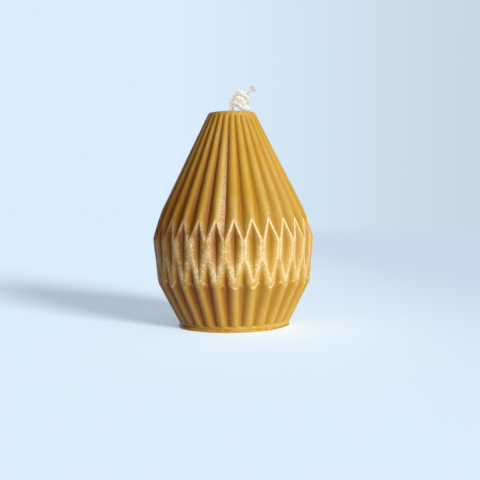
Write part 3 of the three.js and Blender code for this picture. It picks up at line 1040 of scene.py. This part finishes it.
@dataclass
class WaxBody:
    """The pleated casting: what an upper pleated cone, a belt, a waist and a round-ribbed skirt share."""

    foot_level: float
    top_level: float
    rib_count: int = 28
    rib_foot: float = 0.0019
    notch_level: float = 0.0175
    tip_level: float = 0.0197
    strip_foot: float = 0.02815
    strip_head: float = 0.0347
    fork_level: float = 0.0428
    shoulder_level: float = 0.0466
    groove_head: float = 0.0832
    head_depth: float = 0.00045
    top_radius: float = 0.0093
    shoulder_radius: float = 0.0282
    belt_radius: float = 0.0320
    fork_radius: float = 0.0297
    waist_radius: float = 0.0304
    notch_depth: float = 0.0020
    foot_rib_radius: float = 0.0224
    foot_band_radius: float = 0.0220
    foot_groove: float = 0.00115
    toe_height: float = 0.0012
    lower_hollow: float = 0.00133
    upper_hollow: float = 0.00237
    flank_rise: float = 0.0013
    bore_radius: float = BORE_RADIUS
    rim_rounding: float = 0.00016
    ridge_softness: float = 0.12
    cone_softness: float = 0.30
    edge_softness: float = 0.00028
    margin_swell: float = 0.6
    waviness: float = 0.00010

    # settings of the grid and the noise, which aren't inputs of the tree
    columns: ClassVar[int] = 24
    crowding: ClassVar[float] = 0.72
    near_notch: ClassVar[float] = 0.0007
    head_fade: ClassVar[float] = 0.0004
    softening_span: ClassVar[float] = 0.008
    edge_limits: ClassVar[Span] = (0.06, 0.46)
    toe_fill: ClassVar[float] = 0.4
    merge_distance: ClassVar[float] = 2e-6
    wave_scale: ClassVar[float] = 130
    ripple_scale: ClassVar[float] = 900
    ripple_share: ClassVar[float] = 0.35

    def inputs(self) -> dict[str, float]:
        """The sizes by the names that the tree's inputs have."""
        return {self._title(size.name): getattr(self, size.name) for size in fields(self)}

    @staticmethod
    def _title(name: str) -> str:
        """The tree input that a size feeds."""
        return name.replace("_", " ").title()

    def build(self, material: bpy.types.Material) -> bpy.types.Object:
        """Grow the body and let it stand for its node.

        Args:
            material: the wax.

        Returns:
            The body.
        """
        tree = GeometryTree("pleated_casting", self.inputs())
        sizes = SimpleNamespace(
            **{size.name: tree.size(self._title(size.name)) for size in fields(self)}
        )
        ring = tree.stage("GeometryNodePoints", {}, {0: sizes.rib_count})
        number = tree.given("GeometryNodeInputIndex")
        turn = tree.vector(0.0, 0.0, number / sizes.rib_count * FULL_TURN)
        pleats = {0: ring, "Instance": self._pleat(tree, sizes), "Rotation": turn}
        ribs = tree.stage("GeometryNodeInstanceOnPoints", {}, pleats)
        real = tree.stage("GeometryNodeRealizeInstances", {}, {0: ribs})
        merged = {0: real, "Distance": self.merge_distance}
        whole = tree.stage("GeometryNodeMergeByDistance", {}, merged)
        tree.close(self._worn(tree, whole, sizes), material)
        body = tree.grow("pleated_body", bpy.data.meshes.new("pleat_start"))
        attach(body, BODY)
        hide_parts("wax_body")
        LOG.info("pleated_body: %d faces", len(body.data.polygons))
        return body

    def _grid(
        self, tree: GeometryTree, s: SimpleNamespace
    ) -> tuple[Link, Value, Value, list[Value]]:
        """A flat grid for one pleat, and the level that each of its rows stands for.

        Args:
            tree: the body's tree.
            s: its sizes.

        Returns:
            The grid, the place across it, the level, and how far along each span of rows a row is.
        """
        spans = (
            (3, s.foot_level),
            (3, s.rib_foot),
            (7, s.rib_foot + s.toe_height),
            (15, s.notch_level - self.near_notch),
            (8, s.notch_level + self.near_notch),
            (24, s.strip_foot),
            (14, s.strip_head),
            (22, s.fork_level),
            (31, s.groove_head - self.head_fade),
            (2, s.groove_head),
            (1, s.top_level - s.rim_rounding),
            (5, s.top_level),
            (5, s.top_level),
            (1, s.foot_level),
        )
        rows = sum(count for count, _ in spans)
        size = {"Size X": 1.0, "Size Y": float(rows)}
        counts = {"Vertices X": self.columns + 1, "Vertices Y": rows + 1}
        grid = tree.stage("GeometryNodeMeshGrid", {}, {**size, **counts})
        across, up, _ = tree.split(tree.node("GeometryNodeInputPosition").outputs[0])
        row = up + rows / 2
        level = reached = s.foot_level
        start = 0
        shares = []
        for count, target in spans:
            shares.append(row.ramp(start, start + count))
            level = level + (target - reached) * shares[-1]
            reached = target
            start += count
        return grid, across, level, shares

    def _place(self, tree: GeometryTree, across: Value, held: Value) -> Value:
        """Where a column lies, in pleats from the ridge, with more of them near the edges.

        Args:
            tree: the body's tree.
            across: the place across the grid, from -0.5 to 0.5.
            held: where the middle column of each half lies.

        Returns:
            0 at the ridge and 0.5 in the valley.
        """

        def crowded(share: Value) -> Value:
            """A share of the way with more columns near both ends."""
            return share - tree.math("SINE", share * FULL_TURN) * (self.crowding / FULL_TURN)

        away = abs(across)
        inner = crowded(away.ramp(0.0, 0.25))
        outer = crowded(away.ramp(0.25, 0.5))
        return held * inner + (0.5 - held) * outer

    def _pleat(self, tree: GeometryTree, s: SimpleNamespace) -> Link:
        """One pleat, from the underside up over the rim and down the bore.

        Args:
            tree: the body's tree.
            s: its sizes.

        Returns:
            The pleat's faces, with its attributes.
        """
        grid, across, level, shares = self._grid(tree, s)
        underside, rim, top = shares[0], shares[-3], shares[-2]
        quarter = rim * (math.pi / 2)
        level = level + s.rim_rounding * (tree.math("SINE", quarter) - rim)
        inset = s.rim_rounding * (1 - tree.math("COSINE", quarter))

        def line(first: Corner, second: Corner, at: Optional[Number] = None) -> Value:
            """Radius on the line through two (radius, level) points, here or at another level."""
            slope = (second[0] - first[0]) / (second[1] - first[1])
            return first[0] + slope * ((level if at is None else at) - first[1])

        hull = ((s.waist_radius, s.notch_level), (s.belt_radius, s.strip_head))
        fork = (s.fork_radius, s.fork_level)
        shoulder = (s.shoulder_radius, s.shoulder_level)
        ridge_line = (shoulder, (s.top_radius, s.top_level))
        envelope = line(*hull)
        flank_foot = (s.belt_radius + s.flank_rise, s.strip_head)
        ridge = tree.most(line(flank_foot, fork), line(fork, shoulder))
        ridge = tree.least(ridge, line(*ridge_line))
        head = (line(*ridge_line, s.groove_head) - s.head_depth, s.groove_head)
        valley = tree.least(line(hull[1], head), ridge)
        closed = level.ramp(s.groove_head - self.head_fade, s.groove_head, smooth=True)
        valley = valley + (ridge - valley) * closed
        crease = line((line(*hull, s.tip_level), s.tip_level), fork)
        hollow = level.ramp(s.strip_foot, s.strip_head) * (s.upper_hollow - s.lower_hollow)
        hollow = hollow + s.lower_hollow
        notch = (s.waist_radius - s.notch_depth, s.notch_level)
        groove = line(notch, (line(*hull, s.strip_foot), s.strip_foot))
        groove = tree.least(groove, envelope)
        band = s.foot_band_radius
        toe = 1 - level.ramp(s.rib_foot, s.rib_foot + s.toe_height)
        round_ridge = line((s.foot_rib_radius, s.rib_foot), hull[0])
        round_ridge = round_ridge - (round_ridge - band) * (1 - tree.math("SQRT", 1 - toe * toe))
        round_valley = line((s.foot_rib_radius - s.foot_groove, s.rib_foot), notch)
        fill_head = s.rib_foot + s.toe_height * self.toe_fill
        filled = 1 - level.ramp(s.rib_foot, fill_head, smooth=True)
        round_valley = round_valley + (band - round_valley) * filled

        softer = level.ramp(s.fork_level, s.fork_level + self.softening_span, smooth=True)
        soft = (s.ridge_softness + (s.cone_softness - s.ridge_softness) * softer) * 2
        flank = (ridge - valley) / (1 - soft / 2)
        to_flank = (valley + flank - crease) / (2 * (hollow + flank))
        under_ridge = tree.most(hollow * hollow + 2 * flank * (ridge - crease) / soft, 0.0)
        to_ridge = (tree.math("SQRT", under_ridge) - hollow) * soft / (2 * flank)
        near_fork = tree.math("LESS_THAN", to_ridge * 2, soft)
        to_cone = to_flank + (to_ridge - to_flank) * near_fork
        to_belt = (envelope - crease) / (2 * hollow)
        cut = envelope - groove
        to_waist = (groove + 2 * cut - crease) / (2 * hollow + 4 * cut)
        edge = tree.least(to_cone, to_belt, to_waist)
        nearest, farthest = self.edge_limits
        held = tree.least(tree.most(edge, nearest), farthest)
        place = self._place(tree, across, held)

        roundness = 1 - tree.least(place * 2 / soft, 1.0)
        drop = place * 2 + soft / 2 * roundness * roundness
        cone = valley + flank * (1 - drop)
        swell = 1 + s.margin_swell * tree.most(1 - place / held, 0.0)
        belt = crease + hollow * place * 2 * swell
        waist = groove + cut * (0.5 - place) * 4
        roundness = 0.75 - place * place * 2 + tree.math("COSINE", place * FULL_TURN) * 0.25
        skirt = round_valley + (round_ridge - round_valley) * roundness
        radius = cone
        for other in (belt, waist, skirt, envelope):
            radius = tree.math("SMOOTH_MIN", radius, other, s.edge_softness)
        outline = tree.least(ridge, envelope, round_ridge)
        depth = outline - radius
        beyond = tree.most(level - s.fork_level, 0.0) + tree.most(s.tip_level - level, 0.0)
        pleat_width = outline * FULL_TURN / s.rib_count
        gap = abs(place - tree.most(edge, 0.0)) * pleat_width + beyond
        rib_spread = (s.waist_radius - s.foot_rib_radius) / (s.notch_level - s.rib_foot)
        head_gap = abs(skirt - tree.least(belt, waist, envelope)) / rib_spread
        closing = top + (1 - underside)
        radius = (radius - inset) + (s.bore_radius - (radius - inset)) * closing
        angle = tree.math("SIGN", across) * place / s.rib_count * FULL_TURN
        sideways = radius * tree.math("SINE", angle)
        position = tree.vector(sideways, radius * tree.math("COSINE", angle) * -1, level)
        shaped = tree.keep(grid, "head_gap", head_gap)
        shaped = tree.keep(shaped, "edge_gap", gap)
        shaped = tree.keep(shaped, "depth", depth)
        return tree.stage("GeometryNodeSetPosition", {}, {0: shaped, "Position": position})

    def _worn(self, tree: GeometryTree, whole: Link, s: SimpleNamespace) -> Link:
        """The casting with the slight waves of a soft mould.

        Args:
            tree: the body's tree.
            whole: the merged pleats.
            s: the body's sizes.

        Returns:
            The same faces, moved a little.
        """
        position = tree.node("GeometryNodeInputPosition").outputs[0]
        normal = tree.node("GeometryNodeInputNormal").outputs[0]
        waves = tree.noise(position, self.wave_scale, 2) - 0.5
        ripples = tree.noise(position, self.ripple_scale, 2) - 0.5
        amount = (waves + ripples * self.ripple_share) * s.waviness * 2
        return tree.moved(whole, tree.scaled(normal, amount))


@dataclass
class BaseFilm:
    """The thin pour that closes the mould: an uneven double lip round the foot."""

    foot_level: float
    bore_radius: float = BORE_RADIUS
    radius: float = 0.0223
    swell: float = 0.0009
    swell_turn: float = math.radians(-30)
    ripple: float = 0.00012
    waves: tuple[int, ...] = (5, 8)
    wave_shift: float = 1.0
    sides: int = 288

    def build(self, material: bpy.types.Material) -> bpy.types.Object:
        """Turn the film's section round the axis, and let it stand for its node.

        Args:
            material: the thin wax.

        Returns:
            The film.
        """
        top = self.foot_level
        # each level, and how far inside the outline the section lies there
        section = (
            (0.0, 0.00020),
            (0.00006, 0.00006),
            (0.00020, 0.0),
            (0.00034, 0.00006),
            (0.00040, 0.00022),
            (0.00046, 0.00034),
            (0.00062, 0.00038),
            (0.00078, 0.00044),
            (0.00092, 0.00062),
            (top, 0.00085),
        )
        vertices = []
        for number in range(self.sides):
            angle = number / self.sides * FULL_TURN
            wave = sum(math.cos(count * (angle + self.wave_shift)) for count in self.waves)
            swell = self.swell * math.cos(angle - self.swell_turn)
            outline = self.radius + swell + self.ripple * wave
            points = [(outline - inset, level) for level, inset in section]
            points += [(self.bore_radius, top), (self.bore_radius, 0.0)]
            vertices += [(r * math.sin(angle), -r * math.cos(angle), z) for r, z in points]
        loop = len(section) + 2
        faces = []
        for number in range(self.sides):
            here, there = number * loop, (number + 1) % self.sides * loop
            for step in range(loop):
                after = (step + 1) % loop
                faces.append((here + step, there + step, there + after, here + after))
        mesh = bpy.data.meshes.new("foot_film")
        mesh.from_pydata(vertices, [], faces)
        mesh.shade_smooth()
        mesh.materials.append(material)
        film = bpy.data.objects.new("foot_film", mesh)
        bpy.context.scene.collection.objects.link(film)
        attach(film, BODY)
        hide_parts("base_film")
        LOG.info("foot_film: %d faces", len(mesh.polygons))
        return film


@dataclass(frozen=True)
class Lamp:
    """A soft light so far away that it falls evenly on all that it lights."""

    name: str
    azimuth: float
    elevation: float
    spread: float
    level: float
    colour: RGB
    lit: Lit
    casts_shadow: bool = True

    def build(self, things: Sequence[bpy.types.Object]) -> None:
        """Hang the lamp. At a level of 1, white that faces it looks white.

        Args:
            things: all that the lamp lights.
        """
        turn, rise = math.radians(self.azimuth), math.radians(self.elevation)
        flat = math.cos(rise)
        toward = Vector((math.sin(turn) * flat, -math.cos(turn) * flat, math.sin(rise)))
        light = bpy.data.lights.new(self.name, "SUN")
        light.angle = math.radians(self.spread)
        light.energy = self.level * math.pi
        light.color = self.colour
        light.use_shadow = self.casts_shadow
        lamp = bpy.data.objects.new(self.name, light)
        lamp.location = toward
        lamp.rotation_euler = toward.to_track_quat("Z", "Y").to_euler()
        bpy.context.scene.collection.objects.link(lamp)
        group = bpy.data.collections.new(self.name)
        for thing in things:
            group.objects.link(thing)
        lamp.light_linking.receiver_collection = group


@dataclass
class Studio:
    """A pale floor that fades into a pale room, and soft lamps."""

    key_azimuth: float = 39
    floor_radius: float = 1.6
    floor_sides: int = 128
    fade_start: float = 0.5
    fade_end: float = 1.5
    floor_paint: RGB = (0.78, 0.92, 1.0)
    floor_shaded: RGB = (0.64, 0.76, 0.87)
    bounce_lit: RGB = (0.46, 0.40, 0.32)
    bounce_shaded: RGB = (0.10, 0.07, 0.05)
    room_left: RGB = (0.71, 0.845, 0.985)
    # painted shade of the room on the right
    room_right: RGB = (0.565, 0.665, 0.75)
    room_mirrored: RGB = (0.04, 0.035, 0.03)
    ambient: RGB = (0.045, 0.030, 0.018)
    floor_shading: Span = (0.0, 0.19)
    bounce_side: Span = (-0.03, 0.03)
    wall_turn: Span = (-0.05, 0.32)
    mirrored_front: Span = (0.55, 1.0)
    lamps: tuple[Lamp, ...] = (
        Lamp("window", 47, 16, 30, 0.70, (1.0, 1.01, 0.97), Lit.WAX),
        Lamp("front_room", 18, 16, 50, 0.46, (1.0, 0.93, 0.84), Lit.WAX),
        Lamp("far_wall", 180, 30, 60, 0.18, (1.0, 0.94, 0.86), Lit.WAX),
        Lamp("wick_window", 41, 30, 40, 0.56, (1.0, 1.0, 0.97), Lit.WICK),
        Lamp("wick_right", 40, 30, 90, 0.62, (0.98, 1.0, 0.98), Lit.WICK, casts_shadow=False),
        Lamp("wick_left", -60, 15, 90, 0.62, (0.98, 1.0, 0.98), Lit.WICK, casts_shadow=False),
        Lamp("floor_window", 39, 14, 19, 1.48, (1.0, 0.97, 0.96), Lit.FLOOR),
        Lamp("floor_fill", 10, 86, 60, 0.515, (1.0, 1.05, 1.17), Lit.FLOOR, casts_shadow=False),
    )

    def build(self, wick: Sequence[bpy.types.Object], wax: Sequence[bpy.types.Object]) -> None:
        """Lay the floor, hang the lamps and paint the room.

        Args:
            wick: the pieces of the wick.
            wax: the body and the film.
        """
        lit = {Lit.FLOOR: [self._floor()], Lit.WICK: wick, Lit.WAX: wax}
        for lamp in self.lamps:
            lamp.build(lit[lamp.lit])
        self._room()

    @staticmethod
    def _seen(tree: Tree) -> Value:
        """Which rays find the pale background.

        Args:
            tree: the tree of the floor's material or of the room.

        Returns:
            1 for those rays and 0 for the others.
        """
        path = tree.node("ShaderNodeLightPath")
        camera, glossy, through = (Value(tree, path.outputs[ray.value]) for ray in Ray)
        return tree.most(camera, glossy, through)

    def _floor(self) -> bpy.types.Object:
        """A round floor, whose far part is see-through.

        Returns:
            The floor.
        """
        radius, sides = self.floor_radius, range(self.floor_sides)
        turns = [side / self.floor_sides * FULL_TURN for side in sides]
        ring = [(radius * math.cos(turn), radius * math.sin(turn), 0) for turn in turns]
        mesh = bpy.data.meshes.new("floor")
        mesh.from_pydata(ring, [], [tuple(sides)])
        tree = ShaderTree("pale_floor")
        x, y, _ = tree.split(tree.place)
        far = tree.math("SQRT", x * x + y * y).ramp(self.fade_start, self.fade_end, smooth=True)
        # painted shade: the floor that the camera sees is painted darker toward the right
        shaded = (x + y * 0.15).ramp(*self.floor_shading, smooth=True)
        pale = tree.mix(shaded, self.floor_paint, self.floor_shaded)
        # painted shadow: to other rays the floor is painted lit toward the key lamp and dark brown on the
        # far side
        key = math.radians(self.key_azimuth)
        toward_key = x * math.sin(key) - y * math.cos(key)
        bright = toward_key.ramp(*self.bounce_side, smooth=True)
        bounce = tree.mix(bright, self.bounce_shaded, self.bounce_lit)
        colour = tree.mix(self._seen(tree), bounce, pale)
        paint = tree.node("ShaderNodeBsdfDiffuse", inputs={"Color": colour})
        clear = tree.node("ShaderNodeBsdfTransparent")
        surfaces = {0: far, 1: paint.outputs[0], 2: clear.outputs[0]}
        open_floor = tree.node("ShaderNodeMixShader", inputs=surfaces)
        tree.node("ShaderNodeOutputMaterial", inputs={"Surface": open_floor.outputs[0]})
        mesh.materials.append(tree.material)
        floor = bpy.data.objects.new("floor", mesh)
        bpy.context.scene.collection.objects.link(floor)
        return floor

    def _room(self) -> None:
        """The pale room that the camera sees, and the dim light that it gives."""
        world = bpy.data.worlds.new("room")
        bpy.context.scene.world = world
        world.use_nodes = True
        tree = Tree(world.node_tree)
        x, y, _ = tree.split(tree.node("ShaderNodeTexCoord").outputs["Generated"])
        # painted shade: the room is painted greyer toward the right
        wall = tree.mix(x.ramp(*self.wall_turn), self.room_left, self.room_right)
        mirrored = Value(tree, tree.node("ShaderNodeLightPath").outputs[Ray.GLOSSY.value])
        wall = wall.toward(self.room_mirrored, (1 - y.ramp(*self.mirrored_front)) * mirrored)
        colour = tree.mix(self._seen(tree), self.ambient, wall)
        shader = tree.node("ShaderNodeBackground", inputs={"Color": colour, "Strength": 1.0})
        tree.node("ShaderNodeOutputWorld", inputs={"Surface": shader.outputs[0]})


def main() -> None:
    """Build the camera, the wick, the wax, the film and the studio, in that order."""
    logging.basicConfig(level=logging.INFO, format="%(name)s %(message)s")
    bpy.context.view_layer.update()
    body_low, body_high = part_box("wax_body")
    core_low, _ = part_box("wick_core")
    cotton = CottonFinish().material()
    Viewpoint().build()
    wick = Wick(top_level=body_high.z, foot_level=core_low.z).build(cotton)
    body = WaxBody(foot_level=body_low.z, top_level=body_high.z).build(WaxFinish().material())
    film = BaseFilm(foot_level=body_low.z).build(FilmFinish().material())
    Studio().build(wick, [body, film])
    bpy.context.scene.view_settings.view_transform = "Standard"


if __name__ == "__main__":
    main()
